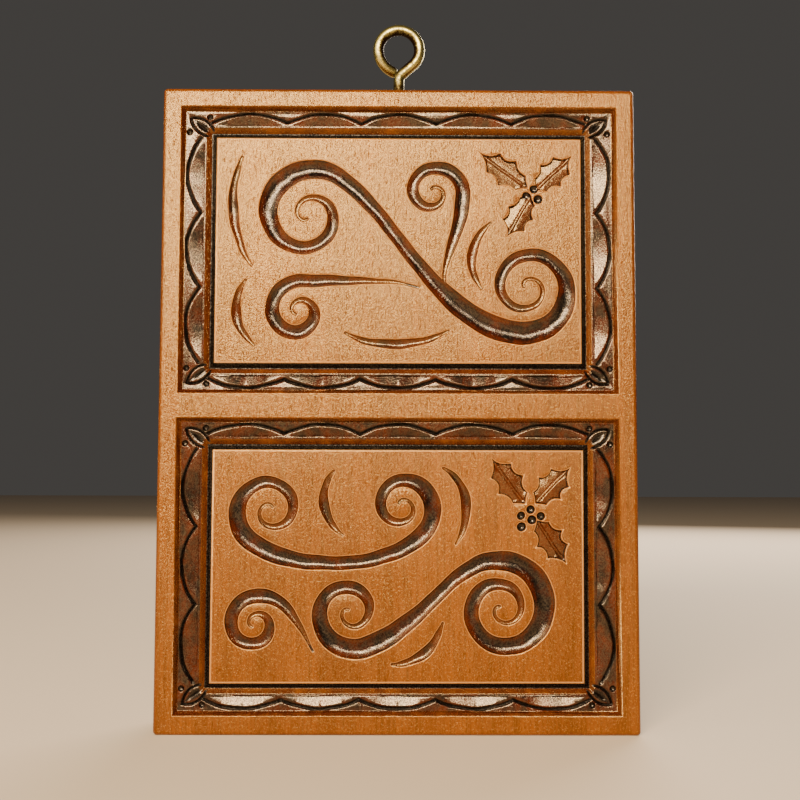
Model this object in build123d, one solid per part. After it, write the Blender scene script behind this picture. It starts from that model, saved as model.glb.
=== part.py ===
from build123d import *
from math import acos, asin, atan2, ceil, cos, degrees, hypot, radians, sin
import os

# Carved cookie mould: one plank of hardwood with two framed picture cells, one above the other,
# and a brass screw eye in its top edge to hang it by. Each cell has a border of swags, a sprig of
# holly and scrollwork, all cut below the face so that they stand up on the pressed dough.
# X runs to the right across the carved face, Y points to the back and Z up.
# The origin is the middle of the bottom edge. Sizes are in millimetres.

# Block
block_width = 117.5
block_height = 158.8
block_thickness = 19.0
edge_round = 1.0

# Cells and their borders, measured across the face
side_rim = 4.6
end_rim = 4.6
middle_rail = 6.0
cell_wall_run = 1.0
side_ledge = 5.2
end_ledge = 4.1
chamfer_run = 1.2
groove_floor = 0.3
panel_wall_run = 1.3

# Depths below the face
ledge_depth = 1.4
groove_depth = 2.4
panel_depth = 1.0

# Swags round each cell
swags_across = 5
swags_up = 3
corner_across = 7.4
corner_up = 7.6
swag_clear = 0.5
swag_foot = 1.35
swag_cut_width = 0.9
swag_cut_depth = 0.5
swag_band = 0.7
scoop_base = 0.75
scoop_heel = 0.3
scoop_end_gap = 1.2
scoop_depth = 0.75

# Corner leaves and dots
corner_leaf_root = (2.2, 2.7)
corner_leaf_tip = (8.2, 7.0)
corner_leaf_width = 3.4
corner_cut_width = 0.8
corner_cut_depth = 0.45
dot_radius = 0.8
dot_depth = 0.7
dot_across = (6.9, 2.4)
dot_down = (1.9, 6.3)

# Holly sprigs
leaf_width = 8.4
leaf_depth = 1.3
leaf_vein_rise = 0.65
leaf_vein_foot = 7.0
slit_share = 0.62
berry_depth = 0.9

# Round hollows, for the dots and the berries
dimple_sides = 9
dimple_bed = 0.4

# Scrollwork gouge: the cut deepens with its width and levels off towards the deepest cut
gouge_depth_limit = 2.6
gouge_half_rate = 2.8
gouge_bed = 0.45
gouge_over = 0.2
scroll_eye = 0.9
scroll_steps = 12
stem_steps = 6

# The panel for which the sprigs and scrolls below are drawn, as half sizes
drawn_half_width = 45.15
drawn_half_height = 28.0

# Screw eye
wire = 2.8
ring_radius = 5.3
ring_rise = 13.6
ring_end_angle = 258
tuck_angle = 31
neck_rise = 6.5
neck_bend = 2.2
shank_depth = 15.0
point_length = 2.5
pilot_clearance = 0.02
pilot_spare = 0.5

# Cutters reach this far past the surface that they cut
over = 0.6

cell_width = block_width - 2 * side_rim
cell_height = (block_height - 2 * end_rim - middle_rail) / 2
cell_offset = (cell_height + middle_rail) / 2
border_run = cell_wall_run + chamfer_run + groove_floor + panel_wall_run
panel_half_width = cell_width / 2 - border_run - side_ledge
panel_half_height = cell_height / 2 - border_run - end_ledge
art_scale = min(panel_half_width / drawn_half_width, panel_half_height / drawn_half_height)


def frustum(low_half, low_z, high_half, high_z):
    """A straight-sided block between two level rectangles, given as half sizes."""
    low = Plane.XY.offset(low_z) * Rectangle(2 * low_half[0], 2 * low_half[1])
    high = Plane.XY.offset(high_z) * Rectangle(2 * high_half[0], 2 * high_half[1])
    return loft([low, high], ruled=True)


def shrunk(half, across, up):
    return (half[0] - across, half[1] - up)


def cell_recess():
    """The sunk border of a cell, left standing round its raised panel."""
    mouth = (cell_width / 2, cell_height / 2)
    ledge = shrunk(mouth, cell_wall_run, cell_wall_run)
    wall_slope = cell_wall_run / ledge_depth
    above = shrunk(mouth, -over * wall_slope, -over * wall_slope)
    outer = frustum(ledge, -ledge_depth, above, over)
    brink = shrunk(ledge, side_ledge, end_ledge)
    floor = shrunk(brink, chamfer_run, chamfer_run)
    channel = frustum(floor, -groove_depth, brink, -ledge_depth)
    island_foot = shrunk(floor, groove_floor, groove_floor)
    island_top = shrunk(island_foot, panel_wall_run, panel_wall_run)
    island = frustum(island_foot, -groove_depth, island_top, -panel_depth)
    return outer + channel - island


def arc_cut(start, end, bulge, width, depth, level):
    """A V cut along an arc from start to end that bulges to the left by the given height."""
    chord = hypot(end[0] - start[0], end[1] - start[1])
    heading = degrees(atan2(end[1] - start[1], end[0] - start[0]))
    radius = (chord**2 / 4 + bulge**2) / (2 * bulge)
    half_turn = degrees(asin(chord / 2 / radius))
    flare = width / 2 * (depth + over) / depth
    blade = Plane.XZ * Polygon(
        (radius, -depth), (radius + flare, over), (radius - flare, over), align=None
    )
    cut = revolve(blade, Axis.Z, revolution_arc=2 * half_turn)
    middle = ((start[0] + end[0]) / 2, (start[1] + end[1]) / 2)
    seat = Location((middle[0], middle[1], level), (0, 0, heading))
    return seat * Pos(0, bulge - radius, 0) * Rot(0, 0, 90 - half_turn) * cut


def scoop_cut(centre, heading, half_length, outer_width, inner_width, depth, level):
    """A two-sided scoop, deepest at its middle, as a V-edged wheel would leave it."""
    axle_height = (half_length**2 - depth**2) / (2 * depth)
    wheel = axle_height + depth
    spread = (depth + over) / depth
    blade = Plane.YZ * Polygon(
        (0, -wheel),
        (outer_width * spread, -wheel + depth + over),
        (-inner_width * spread, -wheel + depth + over),
        align=None,
    )
    swing = degrees(acos((axle_height - over) / wheel))
    cut = Rot(0, swing, 0) * revolve(blade, Axis.Y, revolution_arc=-2 * swing)
    return Location((centre[0], centre[1], level), (0, 0, heading)) * Pos(0, 0, axle_height) * cut


def swag_row(count, pitch, ledge):
    """The swags of one side of a cell, along X with the ledge's brink on the X axis."""
    cuts = []
    crest = ledge - swag_clear
    for place in range(count):
        x = (place - (count - 1) / 2) * pitch
        left = (x - pitch / 2, swag_foot)
        right = (x + pitch / 2, swag_foot)
        cuts.append(
            arc_cut(left, right, crest - swag_foot, swag_cut_width, swag_cut_depth, -ledge_depth)
        )
        cuts.append(
            scoop_cut(
                (x, scoop_base),
                0,
                pitch / 2 - scoop_end_gap,
                crest - swag_band - scoop_base,
                scoop_heel,
                scoop_depth,
                -ledge_depth,
            )
        )
    return cuts


def border_cuts():
    """The swags on the four sides of a cell."""
    brink_up = cell_height / 2 - cell_wall_run - end_ledge
    brink_across = cell_width / 2 - cell_wall_run - side_ledge
    pitch_across = (cell_width - 2 * corner_across) / swags_across
    pitch_up = (cell_height - 2 * corner_up) / swags_up
    cuts = []
    for turn, count, pitch, ledge, brink in (
        (0, swags_across, pitch_across, end_ledge, brink_up),
        (180, swags_across, pitch_across, end_ledge, brink_up),
        (90, swags_up, pitch_up, side_ledge, brink_across),
        (270, swags_up, pitch_up, side_ledge, brink_across),
    ):
        for cut in swag_row(count, pitch, ledge):
            cuts.append(Rot(0, 0, turn) * Pos(0, brink, 0) * cut)
    return cuts


def dimple(radius, depth):
    """A small round hollow that narrows to its bottom, as a few cuts of a knife leave it."""
    flare = (1 - dimple_bed) * radius * over / depth
    mouth = Plane.XY.offset(over) * RegularPolygon(radius + flare, dimple_sides)
    bed = Plane.XY.offset(-depth) * RegularPolygon(dimple_bed * radius, dimple_sides)
    return loft([mouth, bed], ruled=True)


def corner_cuts():
    """A slit leaf on the diagonal of each corner of a cell, with a dot on either side."""
    corner = (cell_width / 2, cell_height / 2)
    root = shrunk(corner, *corner_leaf_root)
    tip = shrunk(corner, *corner_leaf_tip)
    middle = ((root[0] + tip[0]) / 2, (root[1] + tip[1]) / 2)
    length = hypot(root[0] - tip[0], root[1] - tip[1])
    heading = degrees(atan2(root[1] - tip[1], root[0] - tip[0]))
    bulge = corner_leaf_width / 2
    slit = scoop_cut(
        middle,
        heading,
        length / 2 * slit_share,
        corner_cut_width / 2,
        corner_cut_width / 2,
        corner_cut_depth,
        -ledge_depth,
    )
    dot = dimple(dot_radius, dot_depth)
    quarter = [
        arc_cut(root, tip, bulge, corner_cut_width, corner_cut_depth, -ledge_depth),
        arc_cut(tip, root, bulge, corner_cut_width, corner_cut_depth, -ledge_depth),
        slit,
        Pos(*shrunk(corner, *dot_across), -ledge_depth) * dot,
        Pos(*shrunk(corner, *dot_down), -ledge_depth) * dot,
    ]
    sides = [mirror(cut, about=Plane.YZ) for cut in quarter]
    upper = quarter + sides
    lower = [mirror(cut, about=Plane.XZ) for cut in upper]
    return upper + lower


def holly_leaf(base, tip):
    """A sunk holly leaf: three spines a side with hollow curves between, and a raised mid vein."""
    length = hypot(tip[0] - base[0], tip[1] - base[1])
    heading = degrees(atan2(tip[1] - base[1], tip[0] - base[0]))
    half = leaf_width / 2
    spines = [(0, 0), (0.15, 0.55), (0.43, 1.0), (0.72, 0.8), (1, 0)]
    bays = [(0.07, 0.2), (0.27, 0.52), (0.58, 0.6), (0.8, 0.36)]
    edges = []
    for side in (1, -1):
        for (u0, v0), (u, v), (u1, v1) in zip(spines, bays, spines[1:]):
            low = (u0 * length, side * v0 * half)
            hollow = (u * length, side * v * half)
            high = (u1 * length, side * v1 * half)
            edges.append(ThreePointArc(low, hollow, high))
    outline = make_face(Wire(edges))
    pocket = extrude(outline, leaf_depth + over)
    foot = leaf_vein_foot / 2
    ridge = Plane.YZ * Polygon((-foot, 0), (foot, 0), (0, leaf_vein_rise), align=None)
    vein = Pos(-over, 0, 0) * extrude(ridge, length + 2 * over)
    cut = Pos(0, 0, -leaf_depth) * (pocket - vein)
    return Location((base[0], base[1], 0), (0, 0, heading)) * cut


def sprig(leaves, berries):
    """A holly sprig on the panel, from leaf base and tip points and berry centres with radii."""
    cuts = [holly_leaf(base, tip) for base, tip in leaves]
    for x, y, radius in berries:
        cuts.append(Pos(x, y, 0) * dimple(radius, berry_depth))
    return cuts


upper_sprig = sprig(
    [((32.3, 15.7), (20.3, 24.7)), ((34.0, 15.2), (43.3, 24.0)), ((33.0, 13.9), (27.0, 3.5))],
    [(33.6, 15.4, 1.1), (31.7, 13.7, 1.05), (34.7, 12.9, 1.2)],
)
lower_sprig = sprig(
    [((31.2, 14.8), (23.0, 26.4)), ((33.4, 15.0), (42.3, 24.0)), ((34.0, 11.1), (41.2, 0.6))],
    [
        (32.4, 13.6, 1.1),
        (30.1, 12.2, 1.05),
        (32.8, 11.1, 1.2),
        (35.0, 12.1, 1.1),
        (30.3, 9.5, 1.1),
    ],
)


def volute(centre, radius, outer_angle, turns, hand):
    """Points of a spiral from its eye outward; hand 1 turns anticlockwise on the way out."""
    count = ceil(turns * scroll_steps)
    points = []
    for step in range(count + 1):
        share = step / count
        angle = radians(outer_angle - hand * 360 * turns * (1 - share))
        reach = scroll_eye + (radius - scroll_eye) * share
        points.append((centre[0] + reach * cos(angle), centre[1] + reach * sin(angle)))
    return points


def bezier(start, pull_start, pull_end, end, steps=stem_steps):
    """Points of a cubic curve, both ends included."""
    points = []
    for step in range(steps + 1):
        t = step / steps
        weights = ((1 - t) ** 3, 3 * t * (1 - t) ** 2, 3 * t * t * (1 - t), t**3)
        corners = (start, pull_start, pull_end, end)
        x = sum(w * p[0] for w, p in zip(weights, corners))
        y = sum(w * p[1] for w, p in zip(weights, corners))
        points.append((x, y))
    return points


def ahead(near, far, reach):
    """The point that lies the given way past far, on the line from near to far."""
    length = hypot(far[0] - near[0], far[1] - near[1])
    share = reach / length
    return (far[0] + (far[0] - near[0]) * share, far[1] + (far[1] - near[1]) * share)


def s_scroll(first, last, first_pull, last_pull):
    """Two volutes joined by a stem."""
    away = volute(*first)
    home = volute(*last)
    stem = bezier(
        away[-1],
        ahead(away[-2], away[-1], first_pull),
        ahead(home[-2], home[-1], last_pull),
        home[-1],
    )
    return away[:-1] + stem + home[-2::-1]


def tendril(start, pull, last, last_pull):
    """A stem that starts to a point and ends in a volute."""
    home = volute(*last)
    stem = bezier(start, pull, ahead(home[-2], home[-1], last_pull), home[-1])
    return stem + home[-2::-1]


def gouge(path, widths):
    """A sloping-sided cut along a path; widths gives the half width at shares of its length."""
    runs = [0]
    for near, far in zip(path, path[1:]):
        runs.append(runs[-1] + hypot(far[0] - near[0], far[1] - near[1]))
    sections = []
    for place, point in enumerate(path):
        before = path[max(place - 1, 0)]
        after = path[min(place + 1, len(path) - 1)]
        half = between(widths, runs[place] / runs[-1])
        depth = gouge_depth_limit * half / (half + gouge_half_rate)
        bed = half * gouge_bed
        mouth = half + (half - bed) * gouge_over / depth
        lip = gouge_over
        outline = Polyline((-mouth, lip), (-bed, -depth), (bed, -depth), (mouth, lip), close=True)
        along = Vector(after[0] - before[0], after[1] - before[1], 0)
        across = along.cross(Vector(0, 0, 1))
        frame = Plane(origin=(point[0], point[1], 0), x_dir=across, z_dir=along * -1)
        sections.append(frame * make_face(outline))
    return loft(sections, ruled=True)


def between(stations, share):
    """The value at a share of the way, easing from each station to the next."""
    for (start, low), (end, high) in zip(stations, stations[1:]):
        if share <= end:
            t = (share - start) / (end - start)
            return low + (high - low) * t * t * (3 - 2 * t)
    return stations[-1][1]


comma = [(0, 0.3), (0.5, 1.25), (1, 0.3)]


def upper_scrolls():
    main = s_scroll(((32.0, -9.4), 11.6, 252, 1.75, -1), ((-22.5, 8.6), 12.6, 44, 1.6, -1), 19, 16)
    riser = tendril((13.6, -11.4), (7.6, -7.6), ((8.6, 14.6), 7.6, -12, 1.35, -1), 9)
    trailer = tendril((5.0, -9.4), (-3.0, -6.8), ((-24.8, -15.4), 7.8, 78, 1.4, -1), 9)
    return [
        gouge(main, [(0, 0.45), (0.17, 1.6), (0.36, 3.0), (0.55, 1.7), (0.74, 2.6), (0.88, 1.6), (1, 0.4)]),
        gouge(riser, [(0, 0.3), (0.4, 1.9), (0.75, 1.5), (1, 0.4)]),
        gouge(trailer, [(0, 0.3), (0.45, 1.7), (0.75, 1.9), (1, 0.4)]),
        gouge(bezier((-39.0, 23.4), (-42.6, 15.5), (-41.8, 3.5), (-36.4, -4.0)), comma),
        gouge(bezier((-37.8, -7.6), (-41.4, -12.5), (-41.0, -19.0), (-35.6, -24.0)), comma),
        gouge(bezier((-13.2, -20.8), (-5.6, -24.6), (4.0, -24.6), (12.4, -20.2)), comma),
        gouge(bezier((20.6, -9.6), (16.6, -4.0), (17.6, 2.4), (23.0, 7.0)), comma),
    ]


def lower_scrolls():
    main = s_scroll(((-11.5, -11.2), 9.2, -62, 1.5, 1), ((25.4, -10.4), 12.4, 128, 2.0, 1), 11, 9)
    cradle = s_scroll(((-31.0, 13.4), 9.2, -112, 1.5, 1), ((1.0, 14.4), 8.2, -48, 1.5, -1), 12, 12)
    hook = tendril((-20.4, -20.6), (-24.6, -13.0), ((-34.6, -14.2), 7.0, 76, 1.4, -1), 6)
    return [
        gouge(main, [(0, 0.4), (0.14, 1.7), (0.3, 2.6), (0.42, 1.7), (0.6, 2.7), (0.8, 1.9), (1, 0.4)]),
        gouge(cradle, [(0, 0.4), (0.18, 1.5), (0.34, 2.4), (0.52, 1.7), (0.72, 2.2), (0.85, 1.5), (1, 0.4)]),
        gouge(hook, [(0, 0.3), (0.35, 1.8), (0.75, 1.5), (1, 0.4)]),
        gouge(bezier((11.0, 23.8), (17.2, 20.6), (18.6, 12.0), (14.2, 5.4)), comma),
        gouge(bezier((-1.4, -23.8), (4.6, -23.6), (9.2, -20.0), (11.0, -13.8)), comma),
        gouge(bezier((-15.6, 23.0), (-19.6, 18.4), (-19.0, 11.6), (-13.4, 7.4)), comma),
    ]


def mould_block():
    """The plank with both cells cut into its front face and a pilot hole in its top edge."""
    plank = Pos(0, 0, block_height / 2) * Box(block_width, block_thickness, block_height)
    plank = fillet(plank.edges(), edge_round)
    recess = cell_recess()
    border = border_cuts() + corner_cuts()
    cuts = []
    for side, picture in ((1, upper_sprig + upper_scrolls()), (-1, lower_sprig + lower_scrolls())):
        face = Plane(
            origin=(0, -block_thickness / 2, block_height / 2 + side * cell_offset),
            x_dir=(1, 0, 0),
            z_dir=(0, -1, 0),
        )
        plank = plank - face * recess
        panel = face.location * Pos(0, 0, -panel_depth)
        cuts += [face.location * cut for cut in border]
        cuts += [panel * scale(cut, art_scale) for cut in picture]
    pilot_depth = shank_depth + pilot_spare
    bore = wire / 2 + pilot_clearance
    pilot = Cylinder(bore, pilot_depth, align=(Align.CENTER, Align.CENTER, Align.MAX))
    return plank - cuts - Pos(0, 0, block_height) * pilot


def screw_eye():
    """One bent wire: a pointed shank, a neck that leans aside and a ring tucked in behind it."""
    bottom = -shank_depth + point_length
    hang = ring_rise - neck_rise
    open_angle = degrees(acos(ring_radius / hang)) - 90
    ring_start = (
        ring_radius * cos(radians(open_angle)),
        ring_rise + ring_radius * sin(radians(open_angle)),
    )
    leg = FilletPolyline((0, bottom), (0, neck_rise), ring_start, radius=neck_bend)
    ring = CenterArc((0, ring_rise), ring_radius, open_angle, 180 - open_angle)
    tail = CenterArc((0, ring_rise), ring_radius, 180, ring_end_angle - 180)
    flat = [Plane.XZ * edge for edge in (*leg.edges(), ring)]
    hinge = Axis((-ring_radius, 0, ring_rise), (0, 0, 1))
    path = Wire([*flat, (Plane.XZ * tail).rotate(hinge, tuck_angle)])
    section = Plane.XY.offset(bottom) * Circle(wire / 2)
    bent = sweep(section, path=path)
    point = Pos(0, 0, bottom) * Cone(
        0.15 * wire, wire / 2, point_length, align=(Align.CENTER, Align.CENTER, Align.MAX)
    )
    return Pos(0, 0, block_height) * (bent + point)


export_step(mould_block(), "parts/mould_block.step")
export_step(screw_eye(), "parts/screw_eye.step")
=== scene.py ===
# Carved cookie mould: a plank of fine-grained hardwood with two framed picture cells cut into its
# face, wiped with dark stain and varnished, and a brass screw eye in its top edge.
import math

import bmesh
import bpy
import numpy as np
from mathutils import Matrix, Vector
from mathutils.geometry import delaunay_2d_cdt


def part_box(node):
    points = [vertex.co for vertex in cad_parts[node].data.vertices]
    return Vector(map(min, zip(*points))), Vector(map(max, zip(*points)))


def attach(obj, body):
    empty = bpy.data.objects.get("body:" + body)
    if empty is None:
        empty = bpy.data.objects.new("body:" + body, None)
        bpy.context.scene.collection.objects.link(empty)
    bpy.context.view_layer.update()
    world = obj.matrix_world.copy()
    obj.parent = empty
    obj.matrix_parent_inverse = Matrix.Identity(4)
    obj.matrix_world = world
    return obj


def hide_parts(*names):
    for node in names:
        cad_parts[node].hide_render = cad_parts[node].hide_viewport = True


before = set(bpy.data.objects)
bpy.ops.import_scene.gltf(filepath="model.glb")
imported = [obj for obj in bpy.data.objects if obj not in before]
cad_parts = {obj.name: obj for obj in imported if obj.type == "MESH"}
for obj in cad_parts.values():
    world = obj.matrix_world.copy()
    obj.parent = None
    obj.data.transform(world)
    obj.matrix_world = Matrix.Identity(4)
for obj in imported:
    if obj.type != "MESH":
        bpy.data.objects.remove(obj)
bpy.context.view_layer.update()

block_low, block_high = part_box("mould_block")
eye_low, eye_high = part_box("screw_eye")


# Cells: two sunk borders are cut round two raised panels with a bevelled chisel, leaving a rim at
# the sides and ends and a rail between. Everything carved is worked out here in millimetres, on
# the face as seen from the front, with depths counted down from the face.
MM = 0.001
block_width = (block_high[0] - block_low[0]) / MM
block_height = (block_high[2] - block_low[2]) / MM
block_thickness = (block_high[1] - block_low[1]) / MM
rim = 4.6
middle_rail = 6.0
cell_width = block_width - 2 * rim
cell_height = (block_height - 2 * rim - middle_rail) / 2
cell_centres = [
    np.array([0.0, block_height / 2 + (cell_height + middle_rail) / 2]),
    np.array([0.0, block_height / 2 - (cell_height + middle_rail) / 2]),
]

ledge_depth = 1.4
groove_depth = 2.4
panel_depth = 1.0
side_ledge = 5.2
end_ledge = 4.1
wall_run = 1.0
chamfer_run = 1.2
floor_run = 0.3
panel_wall_run = 1.3

# How far each edge of the profile is worn round, from the cell's mouth to the panel's edge.
worn_edges = (0.2, 0.1, 0.2, 0.07, 0.07, 0.22)


def border_profile(ledge_run):
    """Distances in from the cell's mouth, and depths there, at three points round each edge."""
    runs = np.cumsum([0, wall_run, ledge_run, chamfer_run, floor_run, panel_wall_run])
    depths = np.array([0, ledge_depth, ledge_depth, groove_depth, groove_depth, panel_depth])
    before = np.concatenate([[-1.0], runs, [runs[-1] + 1.0]])
    levels = np.concatenate([[0.0], depths, [panel_depth]])
    worn_runs = []
    worn_depths = []
    for place, worn in enumerate(worn_edges, 1):
        here = before[place]
        near = np.interp([here - worn, here + worn], before, levels)
        worn_runs += [here - worn, here, here + worn]
        worn_depths += [near[0], (near[0] + near[1] + 2 * levels[place]) / 4, near[1]]
    return np.array(worn_runs), np.array(worn_depths)


side_runs, profile_depths = border_profile(side_ledge)
end_runs, _ = border_profile(end_ledge)
profile_steps = np.arange(len(side_runs))
brink_across = cell_width / 2 - wall_run - side_ledge
brink_up = cell_height / 2 - wall_run - end_ledge

# How much stain stays on each stretch of the profile: face, wall, ledge, chamfer, groove, panel
# wall, panel. The last value holds across the panel. The darker wall and the black groove and panel
# wall are partly painted shade. The panel's edge is rubbed bare and painted lighter as a highlight.
rubbed_bare_highlight = -0.2
stretch_stain_and_shade = np.array([0.0, 0.36, 0.58, 0.32, 1.3, 1.2, 0.0])


def profile_place(points):
    """Where points of a cell lie on the border profile, as a step along its worn edges."""
    across = cell_width / 2 - np.abs(points[:, 0])
    up = cell_height / 2 - np.abs(points[:, 1])
    from_side = np.interp(across, side_runs, profile_steps)
    from_end = np.interp(up, end_runs, profile_steps)
    return np.minimum(from_side, from_end)


def border_depth(points):
    return np.interp(profile_place(points), profile_steps, profile_depths)


def border_stain_and_light(points):
    edges = 3 * np.arange(len(stretch_stain_and_shade) - 1) + 1
    place = profile_place(points)
    stain_and_painted_light = stretch_stain_and_shade[np.searchsorted(edges, place)]
    panel_edge = edges[-1]
    # The panel's edge is rubbed bare and painted lighter there, as a painted highlight.
    return np.where(np.abs(place - panel_edge) < 1, rubbed_bare_highlight, stain_and_painted_light)


def rectangle(half_width, half_height):
    corners = [(-1, -1), (1, -1), (1, 1), (-1, 1), (-1, -1)]
    return np.array([(x * half_width, y * half_height) for x, y in corners])


border_lines = [
    rectangle(cell_width / 2 - across, cell_height / 2 - up)
    for across, up in zip(side_runs, end_runs)
]
for corner in range(4):
    border_lines.append(np.array([line[corner] for line in border_lines[: len(side_runs)]]))


# Swags: on the ledge, a knife line swings from point to point round each cell, and a two-sided
# scoop lies inside each swing. Both are cut with a knife and end in points. Knife lines, like the
# leaves and gouge cuts further down, have a worn lip that sinks a little, is rubbed bare and is
# painted lighter as a highlight.
across_swags = 5
up_swags = 3
swag_clear = 0.5
swag_foot = 1.35
swag_cut = (0.9, 0.5)
swag_band = 0.7
scoop_base = 0.75
scoop_heel = 0.3
scoop_end_gap = 1.2
scoop_depth = 0.75

# The rows of swags stop this far from the ends of a cell's sides, to leave the corners free.
corner_across = 7.4
corner_up = 7.6

line_step = 0.42
lip_run = 0.24
lip_drop = 0.09
# A dark line of painted shade runs just inside the edge of each wiped cut, down to this depth.
edge_shade_line_depth = 0.28
edge_shade_line = 0.62


def turned(points, angle, shift=(0.0, 0.0)):
    cosine, sine = math.cos(angle), math.sin(angle)
    return points @ np.array([[cosine, sine], [-sine, cosine]]) + np.asarray(shift)


def placed(cut, angle, shift):
    """The same cut, turned and then moved."""
    shift = np.asarray(shift, float)
    return {
        "lines": [turned(line, angle, shift) for line in cut["lines"]],
        "depth": lambda points: cut["depth"](turned(points - shift, -angle)),
        "level": cut["level"],
        "stain_and_painted_light": lambda points, sunk: cut["stain_and_painted_light"](turned(points - shift, -angle), sunk),
    }


def wiped_and_shaded(shallow, deep, dark_depth):
    """How much stain a cut holds: more where the cut is deeper, partly as painted shade, and a painted
    shade line at its edge.
    """

    def stain_at(points, sunk):
        # Stain held in the cut, darker with depth partly as painted shade.
        held = shallow + (deep - shallow) * np.clip(sunk / dark_depth, 0, 1) ** 1.5
        return np.maximum(held, np.where(sunk < edge_shade_line_depth, edge_shade_line, 0))

    return stain_at


def end_caps(line, half_widths):
    """Half rings round both ends of a cut, so that its lips close there."""
    caps = []
    for first, second in ((0, 1), (-1, -2)):
        end, before, half = line[first], line[second], half_widths[first]
        heading = math.atan2(end[1] - before[1], end[0] - before[0])
        swing = heading + np.linspace(-math.pi / 2, math.pi / 2, 7)
        ring = np.stack([np.cos(swing), np.sin(swing)], axis=1)
        caps += [end + ring * half, end + ring * (half + lip_run)]
    return caps


def v_profile(distance, width, depth):
    """Depth of a V cut at a distance from its line, with worn lips."""
    flank = depth * (1 - 2 * np.abs(distance) / width)
    past = np.abs(distance) - width / 2
    return np.where(past < 0, flank + lip_drop, lip_drop * np.clip(1 - past / lip_run, 0, 1) ** 2)


def arc_cut(start, end, bulge, cut, level):
    """A V cut along an arc that bulges to the left of the way from start to end."""
    width, depth = cut
    start, end = np.array(start, float), np.array(end, float)
    chord = np.linalg.norm(end - start)
    heading = math.atan2(end[1] - start[1], end[0] - start[0])
    radius = (chord**2 / 4 + bulge**2) / (2 * bulge)
    half_turn = math.asin(chord / 2 / radius)
    count = max(6, int(2 * radius * half_turn / line_step))
    swing = np.linspace(half_turn, -half_turn, count + 1)
    spoke = np.stack([np.sin(-swing), np.cos(swing)], axis=1)
    centre = np.array([0, bulge - radius])

    def depth_at(points):
        away = points - centre
        reach = np.linalg.norm(away, axis=1)
        angle = np.arctan2(away[:, 0], away[:, 1])
        past_end = radius * np.clip(np.abs(angle) - half_turn, 0, None)
        off = np.hypot(reach - radius, past_end)
        return v_profile(off, width, depth)

    lines = [centre + spoke * (radius + off) for off in (0, width / 2, -width / 2)]
    lines += [centre + spoke * (radius + side * (width / 2 + lip_run)) for side in (1, -1)]
    lines += end_caps(lines[0], [width / 2, width / 2])
    arc = {"lines": lines, "depth": depth_at, "level": level, "stain_and_painted_light": wiped_and_shaded(0.5, 1.2, 0.5)}
    return placed(arc, heading, (start + end) / 2)


def scoop_cut(half_length, heel, crest, depth, level, stain_and_painted_light):
    """A two-sided scoop along X: its valley is straight, and its edges swing out by heel and crest."""
    count = max(8, int(2 * half_length / line_step))
    x = np.linspace(-half_length, half_length, count + 1)
    full = 1 - (x / half_length) ** 2

    def depth_at(points):
        swing = 1 - (points[:, 0] / half_length) ** 2
        inside = swing > 0.002
        swing = np.where(inside, swing, 1)
        y = points[:, 1] / swing
        rise = np.where(y > 0, 1 - y / crest, 1 + y / heel)
        return np.where(inside, depth * swing * rise, -1)

    lines = [np.stack([x, full * y], axis=1) for y in (-heel, 0, crest)]
    return {"lines": lines, "depth": depth_at, "level": level, "stain_and_painted_light": stain_and_painted_light}


def swag_row(count, pitch, ledge):
    """The swags of one side, centred on the middle of the ledge's inner edge."""
    cuts = []
    crest = ledge - swag_clear
    for place in range(count):
        x = (place - (count - 1) / 2) * pitch
        left, right = (x - pitch / 2, swag_foot), (x + pitch / 2, swag_foot)
        cuts.append(arc_cut(left, right, crest - swag_foot, swag_cut, ledge_depth))
        reach = crest - swag_band - scoop_base
        half_length = pitch / 2 - scoop_end_gap
        stain_and_painted_light = wiped_and_shaded(0.42, 0.62, scoop_depth)
        scoop = scoop_cut(half_length, scoop_heel, reach, scoop_depth, ledge_depth, stain_and_painted_light)
        cuts.append(placed(scoop, 0, (x, scoop_base)))
    return cuts


ledge_cuts = []
pitch_across = (cell_width - 2 * corner_across) / across_swags
pitch_up = (cell_height - 2 * corner_up) / up_swags
across_row = (across_swags, pitch_across, end_ledge, brink_up)
up_row = (up_swags, pitch_up, side_ledge, brink_across)
for turn, (count, pitch, ledge, brink) in (
    (0, across_row), (180, across_row), (90, up_row), (270, up_row)
):
    angle = math.radians(turn)
    for cut in swag_row(count, pitch, ledge):
        ledge_cuts.append(placed(cut, angle, turned(np.array([[0, brink]]), angle)[0]))


# Corner leaves: a slit leaf is cut on the diagonal of each corner of a cell, with a dot pressed in
# on either side of it with a round punch.
corner_leaf_root = np.array([2.2, 2.7])
corner_leaf_tip = np.array([8.2, 7.0])
corner_leaf_width = 3.4
corner_cut = (0.8, 0.45)
hollow_inset = 0.2
hollow_depth = 0.3
slit_share = 0.62
slit_half_width = 0.4
slit_depth = 0.65
dot_radius = 0.8
dot_depth = 0.7
dot_places = ((6.9, 2.4), (1.9, 6.3))
bowl_lip_run = 0.15
bowl_lip_drop = 0.04


def bowl(centre, radius, depth, level):
    """A round hollow, as a punch or a veiner's turn leaves it."""
    centre = np.array(centre, float)
    ball = (radius**2 + depth**2) / (2 * depth)

    def depth_at(points):
        off = np.linalg.norm(points - centre, axis=1)
        hollow = np.sqrt(np.clip(ball**2 - off**2, 0, None)) - (ball - depth)
        lip = bowl_lip_drop * np.clip(1 - (off - radius) / bowl_lip_run, 0, 1)
        return np.where(off < radius, hollow + bowl_lip_drop, lip)

    turn = np.linspace(0, 2 * np.pi, 21)
    ring = np.stack([np.cos(turn), np.sin(turn)], axis=1)
    reaches = (radius + bowl_lip_run, radius, 0.8 * radius, 0.5 * radius)
    lines = [centre + ring * reach for reach in reaches]
    lines.append(np.array([centre, centre + (0.01, 0)]))
    return {"lines": lines, "depth": depth_at, "level": level, "stain_and_painted_light": wiped_and_shaded(0.85, 1.0, 0.6)}


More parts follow.
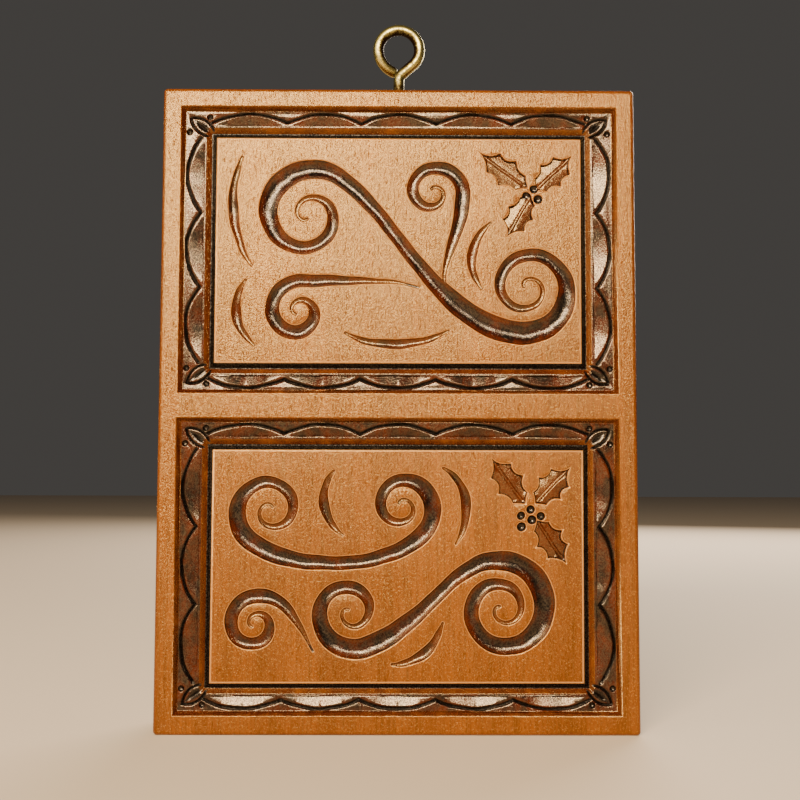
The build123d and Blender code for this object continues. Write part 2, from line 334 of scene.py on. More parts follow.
for side in (1, -1):
    for end in (1, -1):
        outward = np.array([side, end])
        corner = outward * (cell_width / 2, cell_height / 2)
        root = corner - outward * corner_leaf_root
        tip = corner - outward * corner_leaf_tip
        length = np.linalg.norm(tip - root)
        heading = math.atan2(tip[1] - root[1], tip[0] - root[0])
        bulge = corner_leaf_width / 2
        for half_length, half_width, depth, stain_and_painted_light in (
            (length / 2 - hollow_inset, bulge - hollow_inset, hollow_depth, wiped_and_shaded(0.8, 0.95, 0.3)),
            (slit_share * length / 2, slit_half_width, slit_depth, wiped_and_shaded(1.0, 1.0, 0.5)),
        ):
            cut = scoop_cut(half_length, half_width, half_width, depth, ledge_depth, stain_and_painted_light)
            ledge_cuts.append(placed(cut, heading, (root + tip) / 2))
        ledge_cuts.append(arc_cut(root, tip, bulge, corner_cut, ledge_depth))
        ledge_cuts.append(arc_cut(tip, root, bulge, corner_cut, ledge_depth))
        for inset in dot_places:
            ledge_cuts.append(bowl(corner - outward * inset, dot_radius, dot_depth, ledge_depth))


# Holly: each panel has a sprig of three sunk leaves and a few berries near its upper right corner.
# A leaf is set in with a small gouge, spine to spine, and its floor is left high along the vein.
leaf_half_width = 4.2
leaf_depth = 1.3
vein_rise = 0.65
vein_foot = 3.5
vein_groove_off = 0.42
vein_groove_depth = 0.22
vein_groove_width = 0.16
leaf_wall = 0.4
# The leaf's walls are darkened as painted shade; its floor holds a little stain.
leaf_wall_shade = 0.95
leaf_floor_stain = 0.46
berry_depth = 0.95


def arc_through(low, middle, high, count):
    """Points of the circle's arc from low to high through middle, the last one left out."""
    (ax, ay), (bx, by), (cx, cy) = low, middle, high
    twice = 2 * (ax * (by - cy) + bx * (cy - ay) + cx * (ay - by))
    a, b, c = ax * ax + ay * ay, bx * bx + by * by, cx * cx + cy * cy
    centre = np.array(
        [
            (a * (by - cy) + b * (cy - ay) + c * (ay - by)) / twice,
            (a * (cx - bx) + b * (ax - cx) + c * (bx - ax)) / twice,
        ]
    )
    radius = np.linalg.norm(low - centre)
    start = math.atan2(*(low - centre)[::-1])
    way = (math.atan2(*(middle - centre)[::-1]) - start + math.pi) % (2 * math.pi) - math.pi
    whole = (math.atan2(*(high - centre)[::-1]) - start) % (2 * math.pi)
    if way < 0:
        whole -= 2 * math.pi
    angles = start + whole * np.linspace(0, 1, count + 1)[:-1]
    return centre + radius * np.stack([np.cos(angles), np.sin(angles)], axis=1)


def holly_leaf(base, tip):
    """A sunk leaf with spines on both sides, its vein raised between two fine grooves."""
    base, tip = np.array(base, float), np.array(tip, float)
    length = np.linalg.norm(tip - base)
    heading = math.atan2(tip[1] - base[1], tip[0] - base[0])
    scale = np.array([length, leaf_half_width])
    spines = np.array([(0, 0), (0.15, 0.55), (0.43, 1.0), (0.72, 0.8), (1, 0)]) * scale
    bays = np.array([(0.07, 0.2), (0.27, 0.52), (0.58, 0.6), (0.8, 0.36)]) * scale
    arcs = [arc_through(low, bay, high, 12) for low, bay, high in zip(spines, bays, spines[1:])]
    upper = np.concatenate([*arcs, spines[-1:]])
    lower = upper[::-1] * (1, -1)
    outline = np.concatenate([upper, lower[1:]])

    def inside_by(points):
        """Distance in from the outline, negative outside it."""
        nearest = np.full(len(points), 99.0)
        crossings = np.zeros(len(points), int)
        for start, end in zip(outline, outline[1:]):
            run = end - start
            share = np.clip(((points - start) @ run) / (run @ run), 0, 1)
            off = np.linalg.norm(points - start - share[:, None] * run, axis=1)
            nearest = np.minimum(nearest, off)
            spans = (start[1] > points[:, 1]) != (end[1] > points[:, 1])
            rise = run[1] if run[1] != 0 else 1e-9
            crossing = start[0] + (points[:, 1] - start[1]) / rise * run[0]
            crossings += spans & (points[:, 0] < crossing)
        return np.where(crossings % 2 == 1, nearest, -nearest)

    def depth_at(points):
        within = inside_by(points)
        off_vein = np.abs(points[:, 1])
        floor = leaf_depth - vein_rise * np.clip(1 - off_vein / vein_foot, 0, 1)
        groove = np.exp(-(((off_vein - vein_groove_off) / vein_groove_width) ** 2))
        floor += vein_groove_depth * groove * (points[:, 0] < 0.93 * length)
        wall = 0.05 + within / leaf_wall * leaf_depth
        lip = lip_drop * np.clip(1 + within / lip_run, 0, 1) ** 2
        return np.where(within > 0, np.maximum(np.minimum(floor, wall), lip_drop), lip)

    def stain_at(points, sunk):
        # Painted shade on the walls, stain on the floor.
        return np.where(inside_by(points) < leaf_wall, leaf_wall_shade, leaf_floor_stain)

    vein = np.stack([np.linspace(0.1 * length, 0.97 * length, 16), np.zeros(16)], axis=1)
    lines = [outline, vein]
    for off in (0.2, vein_groove_off, 0.64):
        lines += [vein[:-1] + (0, off), vein[:-1] - (0, off)]
    along = np.gradient(outline, axis=0)
    across = np.stack([along[:, 1], -along[:, 0]], axis=1)
    across /= np.linalg.norm(across, axis=1)[:, None] + 1e-9
    for off in (leaf_wall, -lip_run):
        moved = outline + across * off
        lines.append(moved[(inside_by(moved) * np.sign(off)) > abs(off) * 0.6])
    leaf = {"lines": lines, "depth": depth_at, "level": panel_depth, "stain_and_painted_light": stain_at}
    return placed(leaf, heading, base)


upper_cuts = [
    holly_leaf((32.3, 15.7), (20.3, 24.7)),
    holly_leaf((34.0, 15.2), (43.3, 24.0)),
    holly_leaf((33.0, 13.9), (27.0, 3.5)),
]
lower_cuts = [
    holly_leaf((31.2, 14.8), (23.0, 26.4)),
    holly_leaf((33.4, 15.0), (42.3, 24.0)),
    holly_leaf((34.0, 11.1), (41.2, 0.6)),
]
for x, y, radius in ((33.6, 15.4, 1.15), (31.7, 13.7, 1.1), (34.7, 12.9, 1.25)):
    upper_cuts.append(bowl((x, y), radius, berry_depth, panel_depth))
for x, y, radius in (
    (32.4, 13.6, 1.15), (30.1, 12.2, 1.1), (32.8, 11.1, 1.2), (35.0, 12.1, 1.1), (30.3, 9.5, 1.2)
):
    lower_cuts.append(bowl((x, y), radius, berry_depth, panel_depth))


# Scrollwork: the rest of each panel is filled with volutes, tendrils and comma cuts, run with a
# round gouge that is pressed deeper where the stroke swells and lifted to a hair at its ends.
gouge_depth_limit = 2.6
gouge_half_rate = 2.8
gouge_lip_inside = 0.3
scroll_eye = 0.9
points_at_once = 4000


def volute(centre, radius, outer_angle, turns, hand):
    """Points of a spiral from its eye outward; hand 1 turns anticlockwise on the way out."""
    share = np.linspace(0, 1, int(turns * 40))
    angle = np.radians(outer_angle - hand * 360 * turns * (1 - share))
    reach = scroll_eye + (radius - scroll_eye) * share
    return np.array(centre) + np.stack([reach * np.cos(angle), reach * np.sin(angle)], axis=1)


def bezier(start, pull_start, pull_end, end):
    t = np.linspace(0, 1, 60)[:, None]
    corners = [np.array(corner, float) for corner in (start, pull_start, pull_end, end)]
    weights = ((1 - t) ** 3, 3 * t * (1 - t) ** 2, 3 * t * t * (1 - t), t**3)
    return sum(weight * corner for weight, corner in zip(weights, corners))


def ahead(near, far, reach):
    return far + (far - near) / np.linalg.norm(far - near) * reach


def s_scroll(first, last, first_pull, last_pull):
    """Two volutes joined by a stem."""
    away, home = volute(*first), volute(*last)
    leave = ahead(away[-2], away[-1], first_pull)
    arrive = ahead(home[-2], home[-1], last_pull)
    stem = bezier(away[-1], leave, arrive, home[-1])
    return np.concatenate([away[:-1], stem, home[-2::-1]])


def tendril(start, pull, last, last_pull):
    """A stem that starts to a point and ends in a volute."""
    home = volute(*last)
    stem = bezier(start, pull, ahead(home[-2], home[-1], last_pull), home[-1])
    return np.concatenate([stem, home[-2::-1]])


def gouge(path, stations):
    """A round-bottomed cut; stations give its half width at shares of its length."""
    runs = np.concatenate([[0], np.cumsum(np.linalg.norm(np.diff(path, axis=0), axis=1))])
    count = int(runs[-1] / line_step)
    even = np.linspace(0, runs[-1], count + 1)
    line = np.stack([np.interp(even, runs, path[:, axis]) for axis in (0, 1)], axis=1)
    shares, halves = np.array(stations).T
    place = np.interp(even / runs[-1], shares, np.arange(len(shares)))
    step = np.clip(place.astype(int), 0, len(shares) - 2)
    ease = place - step
    ease = ease * ease * (3 - 2 * ease)
    half = halves[step] + (halves[step + 1] - halves[step]) * ease
    depth = gouge_depth_limit * half / (half + gouge_half_rate)
    ball = (half**2 + depth**2) / (2 * depth)

    def depth_at(points):
        deepest = np.full(len(points), -1.0)
        for start in range(0, len(points), points_at_once):
            batch = slice(start, start + points_at_once)
            some = points[batch]
            off = np.linalg.norm(some[:, None, :] - line[None, :, :], axis=2)
            hollow = np.sqrt(np.clip(ball**2 - off**2, 0, None)) - (ball - depth)
            within = half - off
            inner = hollow + lip_drop * np.clip(1 - within / gouge_lip_inside, 0, 1)
            outer = lip_drop * np.clip(1 + within / lip_run, 0, 1) ** 2
            deepest[batch] = np.max(np.where(within > 0, inner, outer), axis=1)
        return deepest

    along = np.gradient(line, axis=0)
    across = np.stack([along[:, 1], -along[:, 0]], axis=1)
    across /= np.linalg.norm(across, axis=1)[:, None]
    lines = [line]
    for reach in (*(half * share for share in (0.25, 0.5, 0.75, 0.92, 1.0)), half + lip_run):
        aside = across * reach[:, None]
        lines += [line + aside, line - aside]
    lines += end_caps(line, half)
    return {"lines": lines, "depth": depth_at, "level": panel_depth, "stain_and_painted_light": wiped_and_shaded(0.34, 0.7, 1.1)}


comma = [(0, 0.35), (0.2, 0.85), (0.5, 1.3), (0.8, 0.85), (1, 0.35)]
upper_cuts += [
    gouge(
        s_scroll(((32.0, -9.4), 11.6, 252, 1.75, -1), ((-22.5, 8.6), 12.6, 44, 1.6, -1), 19, 16),
        [(0, 0.45), (0.17, 1.6), (0.36, 3.0), (0.55, 1.7), (0.74, 2.6), (0.88, 1.6), (1, 0.4)],
    ),
    gouge(
        tendril((13.6, -11.4), (7.6, -7.6), ((8.6, 14.6), 7.6, -12, 1.35, -1), 9),
        [(0, 0.3), (0.4, 1.9), (0.75, 1.5), (1, 0.4)],
    ),
    gouge(
        tendril((5.0, -9.4), (-3.0, -6.8), ((-24.8, -15.4), 7.8, 78, 1.4, -1), 9),
        [(0, 0.3), (0.45, 1.7), (0.75, 1.9), (1, 0.4)],
    ),
    gouge(bezier((-39.0, 23.4), (-42.6, 15.5), (-41.8, 3.5), (-36.4, -4.0)), comma),
    gouge(bezier((-37.8, -7.6), (-41.4, -12.5), (-41.0, -19.0), (-35.6, -24.0)), comma),
    gouge(bezier((-13.2, -20.8), (-5.6, -24.6), (4.0, -24.6), (12.4, -20.2)), comma),
    gouge(bezier((20.6, -9.6), (16.6, -4.0), (17.6, 2.4), (23.0, 7.0)), comma),
]
lower_cuts += [
    gouge(
        s_scroll(((-11.5, -11.2), 9.2, -62, 1.5, 1), ((25.4, -10.4), 12.4, 128, 2.0, 1), 11, 9),
        [(0, 0.4), (0.14, 1.7), (0.3, 2.6), (0.42, 1.7), (0.6, 2.7), (0.8, 1.9), (1, 0.4)],
    ),
    gouge(
        s_scroll(((-31.0, 13.4), 9.2, -112, 1.5, 1), ((1.0, 14.4), 8.2, -48, 1.5, -1), 12, 12),
        [(0, 0.4), (0.18, 1.5), (0.34, 2.4), (0.52, 1.7), (0.72, 2.2), (0.85, 1.5), (1, 0.4)],
    ),
    gouge(
        tendril((-20.4, -20.6), (-24.6, -13.0), ((-34.6, -14.2), 7.0, 76, 1.4, -1), 6),
        [(0, 0.3), (0.35, 1.8), (0.75, 1.5), (1, 0.4)],
    ),
    gouge(bezier((11.0, 23.8), (17.2, 20.6), (18.6, 12.0), (14.2, 5.4)), comma),
    gouge(bezier((-1.4, -23.8), (4.6, -23.6), (9.2, -20.0), (11.0, -13.8)), comma),
    gouge(bezier((-15.6, 23.0), (-19.6, 18.4), (-19.0, 11.6), (-13.4, 7.4)), comma),
]


# Block: the plank itself, about three quarters of an inch thick, sawn square and sanded round at
# its edges. Its face is one skin that follows every cut above, and its sides and back are plain.
edge_round = 1.0
hand_drift = 0.06
blade_chatter = 0.05
line_weld = 0.012
point_weld = 0.004
cut_margin = 0.3
cells = list(zip(cell_centres, (ledge_cuts + upper_cuts, ledge_cuts + lower_cuts)))


def near_cut(points, cut):
    """Places in the list of the points that lie in the box round a cut."""
    low = np.min([line.min(axis=0) for line in cut["lines"] if len(line)], axis=0) - cut_margin
    high = np.max([line.max(axis=0) for line in cut["lines"] if len(line)], axis=0) + cut_margin
    return np.nonzero(np.all((points > low) & (points < high), axis=1))[0]


def face_depth_stain_and_light(points):
    """Depth below the face, and the share of stain left with painted shade and painted highlight, at
    points of the whole face.
    """
    depth = np.zeros(len(points))
    stain_and_painted_light = np.zeros(len(points))
    for centre, cuts in cells:
        local = points - centre
        half = np.array([cell_width, cell_height]) / 2 + worn_edges[0]
        held = np.nonzero(np.all(np.abs(local) < half, axis=1))[0]
        here = local[held]
        ground = border_depth(here)
        tone = border_stain_and_light(here)
        for cut in cuts:
            near = near_cut(here, cut)
            if not len(near):
                continue
            sunk = cut["depth"](here[near])
            deep = cut["level"] + sunk
            cuts_here = (sunk > 0.02) & (deep > ground[near])
            shade = cut["stain_and_painted_light"](here[near], sunk)
            # A cut's lip is rubbed bare and painted lighter, as a painted highlight.
            lip = cuts_here & (sunk < lip_drop + 0.01)
            shade = np.where(lip, rubbed_bare_highlight, shade)
            bare = tone[near] < 0.05
            darker = cuts_here & (bare | (shade > tone[near]))
            tone[near] = np.where(darker, shade, tone[near])
            ground[near] = np.where(sunk > 0, np.maximum(ground[near], deep), ground[near])
        depth[held] = ground
        stain_and_painted_light[held] = tone
    return depth, stain_and_painted_light


def face_skin():
    """Triangles over the face whose edges run along every line of the carving."""
    points = []
    edges = []

    def add(line):
        start = len(points)
        points.extend(Vector((float(x), float(y))) for x, y in line)
        edges.extend((start + step, start + step + 1) for step in range(len(line) - 1))

    outer = rectangle(block_width / 2 - edge_round, block_height / 2 - edge_round)
    add(outer + (0, block_height / 2))
    for centre, cuts in cells:
        for line in border_lines:
            add(line + centre)
        for cut in cuts:
            for line in cut["lines"]:
                if len(line) > 1:
                    add(line + centre)
    found = delaunay_2d_cdt(points, edges, [], 0, line_weld)
    flat = np.array([tuple(point) for point in found[0]])
    triangles = np.array([tuple(face) for face in found[2]])
    return flat, triangles


def shell_ring(inset, y):
    """Points round the block's outline, rounded at the corners, at one depth."""
    ring = []
    for corner, (side, end) in enumerate(((1, 1), (-1, 1), (-1, -1), (1, -1))):
        middle_x = side * (block_width / 2 - edge_round)
        middle_z = block_height / 2 + end * (block_height / 2 - edge_round)
        for step in range(6):
            angle = math.radians(90 * corner + 18 * step)
            reach = edge_round - inset
            ring.append((middle_x + reach * math.cos(angle), y, middle_z + reach * math.sin(angle)))
    return ring


def block_mesh():
    flat, triangles = face_skin()
    sides = flat[triangles]
    first, second = sides[:, 1] - sides[:, 0], sides[:, 2] - sides[:, 0]
    area = first[:, 0] * second[:, 1] - first[:, 1] * second[:, 0]
    triangles = triangles[np.abs(area) > 1e-6]
    area = area[np.abs(area) > 1e-6]
    triangles[area < 0] = triangles[area < 0][:, ::-1]
    depth, tone = face_depth_stain_and_light(flat)
    centroid = flat[triangles].mean(axis=1)
    nudged = flat[triangles] * 0.94 + centroid[:, None, :] * 0.06
    _, stain_and_painted_light = face_depth_stain_and_light(nudged.reshape(-1, 2))

    x, z = flat[:, 0], flat[:, 1]
    rim_distance = np.minimum(
        block_width / 2 - np.abs(x), block_height / 2 - np.abs(z - block_height / 2)
    )
    hand = hand_drift * np.clip((rim_distance - 1.2) / 3, 0, 1)
    drift_x = hand * (np.sin(0.41 * z + 0.13 * x) + np.sin(0.73 * z - 0.3 * x + 2.0))
    drift_z = hand * (np.sin(0.37 * x + 1.7) + np.sin(0.81 * x + 0.25 * z))
    chatter = blade_chatter * np.clip(4 * tone, 0, 1)
    uneven = chatter * np.sin(0.9 * x + 0.4 * z) * np.sin(0.83 * z + 1.1)
    front = -block_thickness / 2
    skin = np.stack([x + drift_x, front + depth + uneven, z + drift_z], axis=1)

    points = [tuple(point) for point in skin]
    faces = [tuple(int(corner) for corner in face) for face in triangles]
    rings = []
    for side, angles in ((1, (90, 67.5, 45, 22.5, 0)), (-1, (0, 22.5, 45, 67.5, 90))):
        for angle in angles:
            bend = math.radians(angle)
            inset = edge_round * (1 - math.cos(bend))
            rings.append(shell_ring(inset, side * (front + edge_round * (1 - math.sin(bend)))))
    starts = []
    for ring in rings:
        starts.append(len(points))
        points.extend(ring)
    count = len(rings[0])
    for low, high in zip(starts, starts[1:]):
        for step in range(count):
            after = (step + 1) % count
            faces.append((low + step, low + after, high + after, high + step))
    faces.append(tuple(starts[-1] + step for step in range(count)))

    mesh = bpy.data.meshes.new("mould_block_carved")
    mesh.from_pydata([tuple(value * MM for value in point) for point in points], [], faces)
    # Per corner stain, with painted shade in the cuts and painted highlight on the lips.
    layer = mesh.attributes.new("stain_and_painted_light", "FLOAT", "CORNER")
    values = np.zeros(len(mesh.loops), np.float32)
    values[: stain_and_painted_light.size] = stain_and_painted_light
    layer.data.foreach_set("value", values)

    joined = bmesh.new()
    joined.from_mesh(mesh)
    bmesh.ops.remove_doubles(joined, verts=joined.verts, dist=point_weld * MM)
    joined.to_mesh(mesh)
    joined.free()
    return mesh


block = bpy.data.objects.new("carved_block", block_mesh())
bpy.context.scene.collection.objects.link(block)
block.data.shade_smooth()
block.data.set_sharp_from_angle(angle=math.radians(62))
weighted = block.modifiers.new("edge_normals", "WEIGHTED_NORMAL")
weighted.keep_sharp = True
weighted.weight = 60


# Wood finish: a fine-grained reddish hardwood with upright grain, wiped with dark stain that stays
# in the cuts and is rubbed off their lips, and varnished to a satin sheen. Painted shade darkens the
# cut walls and deep cuts along with the stain, and the lips are painted lighter as a highlight. The
# attribute that carries stain and painted light is below 0 where wood is rubbed bare and painted
# lighter, 0 on the flats, and over 1 where stain is caked, which is partly painted shade.
def node(tree, kind, **settings):
    made = tree.nodes.new(kind)
    for name, value in settings.items():
        setattr(made, name, value)
    return made


def linear(red, green, blue):
    """A colour given as it looks on screen, 0 to 255."""
    return tuple(((value / 255 + 0.055) / 1.055) ** 2.4 for value in (red, green, blue)) + (1.0,)


def maths(tree, operation, first, second=None, third=None):
    made = node(tree, "ShaderNodeMath", operation=operation)
    for place, value in enumerate((first, second, third)):
        if value is None:
            continue
        if isinstance(value, (int, float)):
            made.inputs[place].default_value = value
        else:
            tree.links.new(value, made.inputs[place])
    return made.outputs[0]


def mixed(tree, factor, first, second):
    made = node(tree, "ShaderNodeMix", data_type="RGBA")
    for place, value in ((0, factor), (6, first), (7, second)):
        if isinstance(value, (int, float, tuple)):
            made.inputs[place].default_value = value
        else:
            tree.links.new(value, made.inputs[place])
    return made.outputs[2]


def span(tree, value, low, high):
    made = node(tree, "ShaderNodeMapRange", interpolation_type="SMOOTHSTEP")
    tree.links.new(value, made.inputs["Value"])
    made.inputs["From Min"].default_value = low
    made.inputs["From Max"].default_value = high
    return made.outputs["Result"]


def stretched_noise(tree, where, scale, detail, rough=0.5, shift=(0, 0, 0)):
    """Noise with its own scale per axis, in turns per millimetre."""
    mapping = node(tree, "ShaderNodeMapping")
    mapping.inputs["Scale"].default_value = tuple(value / MM for value in scale)
    mapping.inputs["Location"].default_value = shift
    tree.links.new(where, mapping.inputs["Vector"])
    noise = node(tree, "ShaderNodeTexNoise")
    noise.inputs["Scale"].default_value = 1.0
    noise.inputs["Detail"].default_value = detail
    noise.inputs["Roughness"].default_value = rough
    tree.links.new(mapping.outputs[0], noise.inputs["Vector"])
    return noise.outputs["Fac"]


def grain_group():
    """Upright wood grain: soft figure, fine streaks and short pores."""
    group = bpy.data.node_groups.new("upright_grain", "ShaderNodeTree")
    group.interface.new_socket("Where", in_out="INPUT", socket_type="NodeSocketVector")
    where = node(group, "NodeGroupInput").outputs["Where"]
    pores = stretched_noise(group, where, (5.5, 5.5, 0.55), 2, 0.5, (3, 1, 7))
    masks = {
        "Figure": stretched_noise(group, where, (0.09, 0.09, 0.012), 5),
        "Streaks": stretched_noise(group, where, (1.5, 1.5, 0.05), 6, 0.65),
        "Pores": span(group, pores, 0.6, 0.72),
        "Mottle": stretched_noise(group, where, (2.9, 2.9, 2.6), 3, 0.65),
        "Blotch": stretched_noise(group, where, (0.3, 0.3, 0.2), 4, 0.6),
    }
    for name in masks:
        group.interface.new_socket(name, in_out="OUTPUT", socket_type="NodeSocketFloat")
    end = node(group, "NodeGroupOutput")
    for name, mask in masks.items():
        group.links.new(mask, end.inputs[name])
    return group


def wood_material():
    material = bpy.data.materials.new("stained_wood")
    material.use_nodes = True
    tree = material.node_tree
    shader = tree.nodes["Principled BSDF"]
    where = node(tree, "ShaderNodeTexCoord").outputs["Object"]
    grain = node(tree, "ShaderNodeGroup", node_tree=grain_group())
    tree.links.new(where, grain.inputs["Where"])
    stain_and_painted_light = node(tree, "ShaderNodeAttribute", attribute_name="stain_and_painted_light").outputs["Fac"]

    # Bare wood: figure, darker streaks and pores, paler pebbles, and raw wood where it is rubbed,
    # painted lighter there as a highlight.
    figure = span(tree, grain.outputs["Figure"], 0.35, 0.65)
    bare = mixed(tree, figure, linear(88, 38, 0), linear(108, 51, 0))
    streaks = maths(tree, "MULTIPLY", span(tree, grain.outputs["Streaks"], 0.4, 0.7), 0.65)
    bare = mixed(tree, streaks, bare, linear(66, 26, 0))
    pores = maths(tree, "MULTIPLY", grain.outputs["Pores"], 0.3)
    bare = mixed(tree, pores, bare, linear(44, 17, 0))
    pebble = span(tree, grain.outputs["Mottle"], 0.4, 0.62)
    bare = mixed(tree, maths(tree, "MULTIPLY", pebble, 0.14), bare, linear(140, 78, 4))
    rubbed_highlight = span(tree, stain_and_painted_light, -0.02, -0.15)
    bare = mixed(tree, maths(tree, "MULTIPLY", rubbed_highlight, 0.6), bare, linear(196, 140, 84))

    # Stain: uneven in the cuts, brown where it is thin and nearly black where it is thick. The thick,
    # near-black part is partly painted shade in the deep cuts, on cut walls and along cut edges.
    uneven = maths(tree, "MULTIPLY_ADD", grain.outputs["Blotch"], 0.9, -0.6)
    uneven = maths(tree, "MULTIPLY_ADD", grain.outputs["Mottle"], 0.3, uneven)
    held = maths(tree, "MULTIPLY_ADD", uneven, maths(tree, "GREATER_THAN", stain_and_painted_light, 0.05), stain_and_painted_light)
    brown = mixed(tree, span(tree, held, 0.05, 0.42), bare, linear(64, 20, 0))
    black = mixed(tree, span(tree, held, 0.38, 0.75), brown, linear(7, 4, 3))
    tree.links.new(black, shader.inputs["Base Color"])

    # Varnish: smooth over stain and on rubbed lips, dull where stain is caked.
    sealed = span(tree, stain_and_painted_light, 0.36, 0.7)
    caked = span(tree, stain_and_painted_light, 1.0, 1.2)
    rough = maths(tree, "MULTIPLY_ADD", grain.outputs["Mottle"], 0.2, 0.15)
    rough = maths(tree, "MULTIPLY_ADD", sealed, -0.07, rough)
    rough = maths(tree, "MULTIPLY_ADD", caked, 0.25, rough)
    rough = maths(tree, "MULTIPLY_ADD", rubbed_highlight, -0.1, rough)
    tree.links.new(rough, shader.inputs["Roughness"])
    gloss = maths(tree, "MULTIPLY_ADD", pebble, 0.6, 0.7)
    gloss = maths(tree, "MULTIPLY_ADD", sealed, -0.55, gloss)
    gloss = maths(tree, "MULTIPLY_ADD", caked, -0.35, gloss)
    tree.links.new(gloss, shader.inputs["Specular IOR Level"])
    tint = mixed(tree, sealed, linear(255, 206, 122), linear(255, 226, 196))
    tree.links.new(tint, shader.inputs["Specular Tint"])
    shader.inputs["IOR"].default_value = 1.52
    shader.inputs["Coat Weight"].default_value = 0.15
    shader.inputs["Coat Roughness"].default_value = 0.2

    relief = maths(tree, "MULTIPLY_ADD", grain.outputs["Pores"], -0.6, grain.outputs["Mottle"])
    relief = maths(tree, "MULTIPLY_ADD", grain.outputs["Streaks"], 0.35, relief)
    strength = maths(tree, "MULTIPLY_ADD", span(tree, stain_and_painted_light, 0.1, 0.6), -0.6, 1.0)
    bump = node(tree, "ShaderNodeBump")
    bump.inputs["Distance"].default_value = 0.11 * MM
    tree.links.new(strength, bump.inputs["Strength"])
    tree.links.new(relief, bump.inputs["Height"])
    tree.links.new(bump.outputs["Normal"], shader.inputs["Normal"])
    tree.links.new(bump.outputs["Normal"], shader.inputs["Coat Normal"])
    return material


block.data.materials.append(wood_material())
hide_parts("mould_block")
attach(block, "root")


# Screw eye: one length of brass wire, pointed and threaded at one end and bent round to an open
# ring at the other, then screwed into the middle of the top edge.
wire = 2.8
ring_radius = (eye_high[0] - eye_low[0]) / MM / 2 - wire / 2
ring_height = eye_high[2] / MM - wire / 2 - ring_radius
neck_rise = ring_height - 7.1
ring_end_angle = 266
tuck_angle = math.radians(24)
neck_bend = 2.2
shank_bottom = eye_low[2] / MM
point_length = 2.5
point_share = 0.25
end_chamfer = 0.3
thread_length = 10.5
thread_pitch = 1.1
thread_depth = 0.22
thread_run_out = 1.5
wire_sides = 28


def eye_path():
    """The wire's centre line, from the point of the shank to the ring's cut end behind the neck."""
    lean = math.acos(ring_radius / (ring_height - neck_rise))
    leave = lean - math.pi / 2
    turn = math.pi / 2 - lean
    run_in = neck_bend * math.tan(turn / 2)
    path = [(0, 0, z) for z in np.linspace(shank_bottom, neck_rise - run_in, 90)]
    middle = (neck_bend, neck_rise - run_in)
    for share in np.linspace(0, 1, 9)[1:]:
        angle = math.pi - turn * share
        x, z = neck_bend * math.cos(angle), neck_bend * math.sin(angle)
        path.append((middle[0] + x, 0, middle[1] + z))
    for angle in np.linspace(leave, math.radians(ring_end_angle), 120):
        x, z = ring_radius * math.cos(angle), ring_height + ring_radius * math.sin(angle)
        off = (x + ring_radius) if angle > math.pi else 0
        path.append((x - off * (1 - math.cos(tuck_angle)), off * math.sin(tuck_angle), z))
    return np.array(path)


def eye_mesh():
    """The wire round its path, with patina inside the ring and near the wood."""
    path = eye_path()
    runs = np.concatenate([[0], np.cumsum(np.linalg.norm(np.diff(path, axis=0), axis=1))])
    along = np.gradient(path, axis=0)
    along /= np.linalg.norm(along, axis=1)[:, None]
    points = []
    faces = []
    patina = []
    ring_centre = np.array([0, 0, ring_height])
    out = np.array([1.0, 0.0, 0.0])
    for centre, heading, run in zip(path, along, runs):
        out = out - heading * (out @ heading)
        out /= np.linalg.norm(out)
        aside = np.cross(heading, out)
        radius = wire / 2 - 0.02
        radius *= point_share + (1 - point_share) * min(1, run / point_length)
        radius -= end_chamfer * max(0, 1 - (runs[-1] - run) / 0.35)
        cut = thread_depth * min(1, max(0, thread_length - run) / thread_run_out)
        inward = (ring_centre - centre) / np.linalg.norm(ring_centre - centre)
        near_wood = 1 - (centre[2] - block_height) / 6
        for side in range(wire_sides):
            angle = 2 * math.pi * side / wire_sides
            thread = cut * (0.5 - 0.5 * math.cos(2 * math.pi * run / thread_pitch - angle))
            reach = radius - thread + 0.01 * math.sin(3 * angle + run * 0.7)
            spoke = reach * (math.cos(angle) * out + math.sin(angle) * aside)
            points.append(tuple((centre + spoke) * MM))
            patina.append(max(spoke @ inward / radius, near_wood))
    for ring in range(len(path) - 1):
        for side in range(wire_sides):
            after = (side + 1) % wire_sides
            low, high = ring * wire_sides, (ring + 1) * wire_sides
            faces.append((low + side, low + after, high + after, high + side))
    faces.append(tuple(range(wire_sides))[::-1])
    last = (len(path) - 1) * wire_sides
    faces.append(tuple(last + side for side in range(wire_sides)))
    mesh = bpy.data.meshes.new("screw_eye_wire")
    mesh.from_pydata(points, [], faces)
    mesh.attributes.new("patina", "FLOAT", "POINT").data.foreach_set("value", patina)
    mesh.shade_smooth()
    mesh.set_sharp_from_angle(angle=math.radians(50))
    return mesh


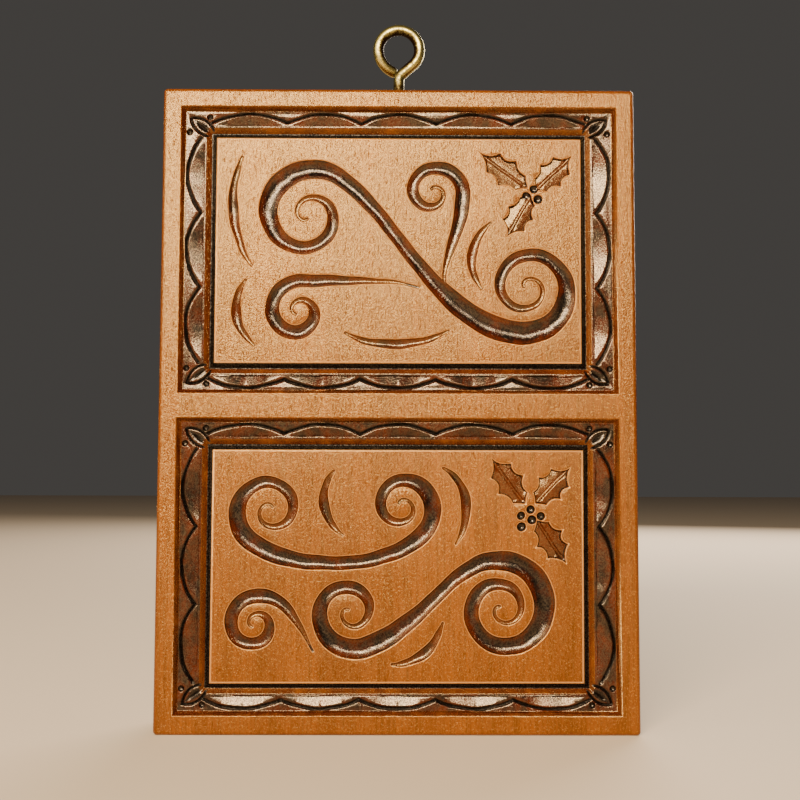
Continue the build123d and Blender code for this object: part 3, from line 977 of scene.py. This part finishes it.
def brass_material():
    material = bpy.data.materials.new("aged_brass")
    material.use_nodes = True
    tree = material.node_tree
    shader = tree.nodes["Principled BSDF"]
    where = node(tree, "ShaderNodeTexCoord").outputs["Object"]
    cloud = stretched_noise(tree, where, (0.35, 0.35, 0.35), 5, 0.6)
    speck = stretched_noise(tree, where, (1.6, 1.6, 1.6), 4, 0.6, (5, 2, 9))
    tarnish = maths(tree, "MULTIPLY_ADD", speck, 0.4, maths(tree, "MULTIPLY", cloud, 0.5))
    held = node(tree, "ShaderNodeAttribute", attribute_name="patina").outputs["Fac"]
    tarnish = maths(tree, "MULTIPLY_ADD", held, 0.3, tarnish)
    colour = mixed(tree, span(tree, tarnish, 0.3, 0.68), linear(184, 170, 104), linear(40, 24, 12))
    tree.links.new(colour, shader.inputs["Base Color"])
    shader.inputs["Metallic"].default_value = 1.0
    rough = maths(tree, "MULTIPLY_ADD", span(tree, tarnish, 0.4, 0.7), 0.25, 0.33)
    tree.links.new(rough, shader.inputs["Roughness"])
    bump = node(tree, "ShaderNodeBump")
    bump.inputs["Strength"].default_value = 0.4
    bump.inputs["Distance"].default_value = 0.05 * MM
    tree.links.new(speck, bump.inputs["Height"])
    tree.links.new(bump.outputs["Normal"], shader.inputs["Normal"])
    return material


eye = bpy.data.objects.new("wire_screw_eye", eye_mesh())
bpy.context.scene.collection.objects.link(eye)
eye.data.materials.append(brass_material())
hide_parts("screw_eye")
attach(eye, "root")


# Studio: a plain pale floor that the mould stands on, soft light from above in front, from the left
# and from behind, and the camera below half height, about 28 centimetres away.
floor_reach = 3
floor_signs = ((-1, -1), (1, -1), (1, 1), (-1, 1))
floor_corners = [(x * floor_reach, y * floor_reach, 0) for x, y in floor_signs]
floor_mesh = bpy.data.meshes.new("studio_floor")
floor_mesh.from_pydata(floor_corners, [], [(0, 1, 2, 3)])
floor = bpy.data.objects.new("studio_floor", floor_mesh)
bpy.context.scene.collection.objects.link(floor)
floor_material = bpy.data.materials.new("pale_floor")
floor_material.use_nodes = True
floor_shader = floor_material.node_tree.nodes["Principled BSDF"]
floor_shader.inputs["Base Color"].default_value = (0.62, 0.5, 0.38, 1)
floor_shader.inputs["Roughness"].default_value = 0.8
floor_mesh.materials.append(floor_material)


def soft_light(name, place, target, size, power, colour):
    data = bpy.data.lights.new(name, "AREA")
    data.shape = "RECTANGLE"
    data.size, data.size_y = size
    data.energy = power
    data.color = colour
    lamp = bpy.data.objects.new(name, data)
    lamp.location = place
    lamp.rotation_euler = (Vector(target) - Vector(place)).to_track_quat("-Z", "Y").to_euler()
    bpy.context.scene.collection.objects.link(lamp)


soft_light("top_window", (-0.2, -1.0, 0.54), (0, 0, 0.1), (0.8, 0.2), 40, (1.0, 0.84, 0.6))
soft_light("left_fill", (-0.7, -0.5, 0.5), (0, 0, 0.08), (0.5, 0.5), 2.5, (1.0, 0.84, 0.62))
soft_light("back_fill", (0.35, 0.9, 0.5), (0, 0, 0.08), (0.8, 0.5), 14, (1.0, 0.9, 0.76))

world = bpy.data.worlds.new("studio_air")
world.use_nodes = True
background = world.node_tree.nodes["Background"]
background.inputs["Color"].default_value = (1.0, 0.93, 0.86, 1)
background.inputs["Strength"].default_value = 0.06
bpy.context.scene.world = world

camera_data = bpy.data.cameras.new("camera")
camera_data.lens = 49.5
camera_data.sensor_width = 36
camera_data.clip_start = 0.01
camera = bpy.data.objects.new("camera", camera_data)
bpy.context.scene.collection.objects.link(camera)
lens_x, lens_y, lens_z = -1.28 * MM, -278.37 * MM, 62.5 * MM
view = Vector((0.00646, 0.99765, 0.06818))
up = Vector((-0.0032, -0.06816, 0.99767))
right = view.cross(up).normalized()
up = right.cross(view).normalized()
camera.matrix_world = Matrix((
    (right.x, up.x, -view.x, lens_x),
    (right.y, up.y, -view.y, lens_y),
    (right.z, up.z, -view.z, lens_z),
    (0, 0, 0, 1),
))
bpy.context.scene.camera = camera
